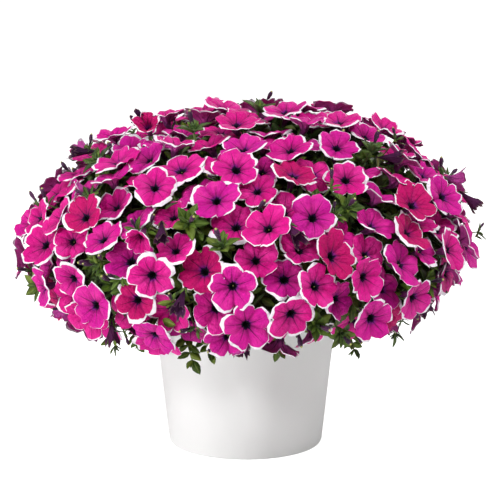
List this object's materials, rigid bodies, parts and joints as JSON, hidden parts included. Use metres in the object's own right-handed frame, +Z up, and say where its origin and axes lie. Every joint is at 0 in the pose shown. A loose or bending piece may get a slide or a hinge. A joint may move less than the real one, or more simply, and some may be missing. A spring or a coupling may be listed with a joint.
{
  "type": "potted petunia",
  "caption": "Round mound of trumpet-shaped flowers with leafy shoots and buds, standing in and spilling over a plain tapered pot.",
  "frame": {"origin": "on the floor, under the middle of the pot's flat base", "axes": "+Z up along the pot's axis; the side that the picture shows faces -Y, and +X is to that view's right"},
  "size_m": [0.6206, 0.6242, 0.4709],
  "materials": {
    "pot": "satin",
    "potting_mix": "matte",
    "foliage": "satin",
    "petals": "matte"
  },
  "bodies": {
    "root": {"flowering_spray_01": "petals", "flowering_spray_02": "petals", "flowering_spray_03": "petals", "flowering_spray_04": "petals", "flowering_spray_05": "petals", "flowering_spray_06": "petals", "flowering_spray_07": "petals", "flowering_spray_08": "petals", "flowering_spray_09": "petals", "flowering_spray_10": "petals", "flowering_spray_11": "petals", "flowering_spray_12": "petals", "flowering_spray_13": "petals", "flowering_spray_14": "petals", "flowering_spray_15": "petals", "flowering_spray_16": "petals", "flowering_spray_17": "petals", "flowering_spray_18": "petals", "flowering_spray_19": "petals", "flowering_spray_20": "petals", "flowering_spray_21": "petals", "flowering_spray_22": "petals", "flowering_spray_23": "petals", "flowering_spray_24": "petals", "flowering_spray_25": "petals", "flowering_spray_26": "petals", "flowering_spray_27": "petals", "flowering_spray_28": "petals", "flowering_spray_29": "petals", "flowering_spray_30": "petals", "flowering_spray_31": "petals", "flowering_spray_32": "petals", "flowering_spray_33": "petals", "flowering_spray_34": "petals", "flowering_spray_35": "petals", "flowering_spray_36": "petals", "flowering_spray_37": "petals", "flowering_spray_38": "petals", "flowering_spray_39": "petals", "flowering_spray_40": "petals", "flowering_spray_41": "petals", "flowering_spray_42": "petals", "flowering_spray_43": "petals", "flowering_spray_44": "petals", "flowering_spray_45": "petals", "flowering_spray_46": "petals", "flowering_spray_47": "petals", "flowering_spray_48": "petals", "flowering_spray_49": "petals", "flowering_spray_50": "petals", "flowering_spray_51": "petals", "flowering_spray_52": "petals", "flowering_spray_53": "petals", "flowering_spray_54": "petals", "flowering_spray_55": "petals", "foliage": "foliage", "pot": "pot", "potting_mix": "potting_mix"}
  },
  "joints": []
}
